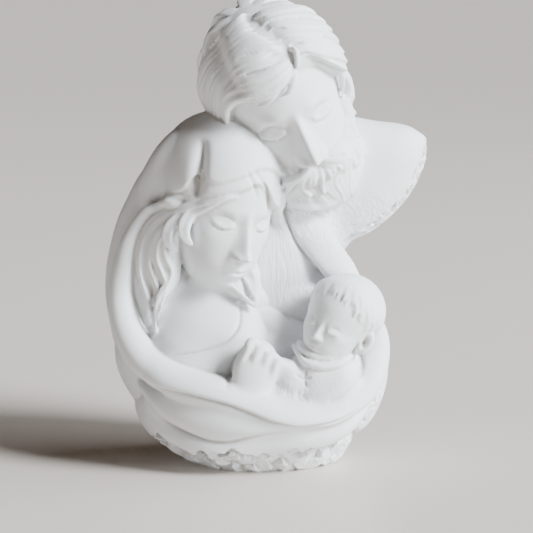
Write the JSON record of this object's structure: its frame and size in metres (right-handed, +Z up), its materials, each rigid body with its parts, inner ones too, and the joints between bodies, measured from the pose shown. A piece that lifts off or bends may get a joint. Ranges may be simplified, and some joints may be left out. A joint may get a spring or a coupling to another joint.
{
  "type": "holy family bust statue",
  "caption": "White cast bust group: a bearded man and a veiled woman lean over a sleeping infant, wrapped in one mantle that rises from a rough-hewn foot.",
  "frame": {"origin": "on the flat underside of the foot, below the middle of the group", "axes": "+Z up from the ground to the man's hair, -Y towards the viewer who sees the faces, +X to that viewer's right"},
  "size_m": [0.1729, 0.1162, 0.2506],
  "materials": {
    "cast_white": "matt white cast plaster, unpainted"
  },
  "bodies": {
    "root": {"holy_family_statue": "cast_white"}
  },
  "joints": []
}
